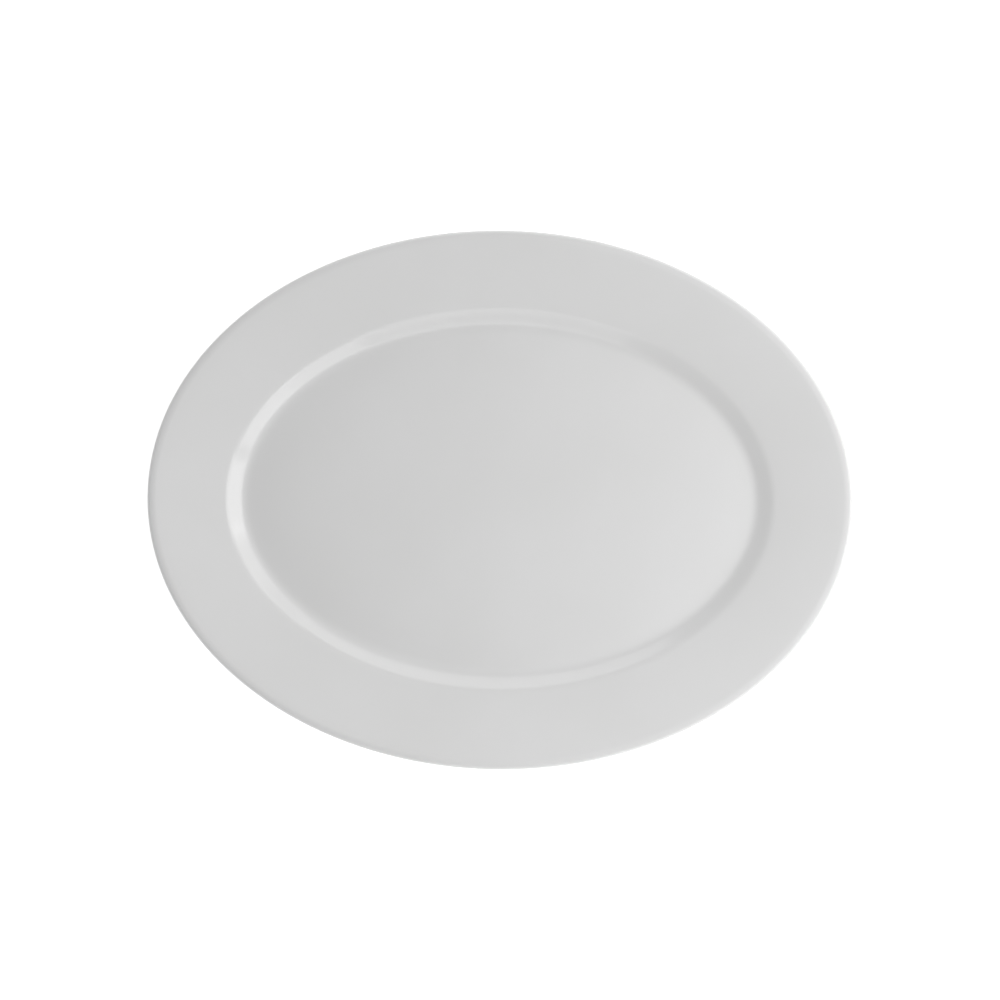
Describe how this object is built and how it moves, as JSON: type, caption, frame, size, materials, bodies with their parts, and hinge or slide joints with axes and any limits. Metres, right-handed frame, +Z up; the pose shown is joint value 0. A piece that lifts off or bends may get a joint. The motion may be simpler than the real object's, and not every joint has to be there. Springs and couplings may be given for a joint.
{
  "type": "oval serving platter",
  "caption": "Oval glazed china serving platter with a flat sloping rim, a shallow well and a low bare foot ring.",
  "frame": {"origin": "middle of the platter, on the plane that its foot ring stands on", "axes": "+X along the platter's length, +Y across its width, +Z up out of the well"},
  "size_m": [0.3798, 0.2904, 0.0266],
  "materials": {
    "bisque": "matte",
    "glaze": "gloss"
  },
  "bodies": {
    "root": {"porcelain_body": "bisque", "glaze_coat": "glaze", "foot_recess_glaze": "glaze"}
  },
  "joints": []
}
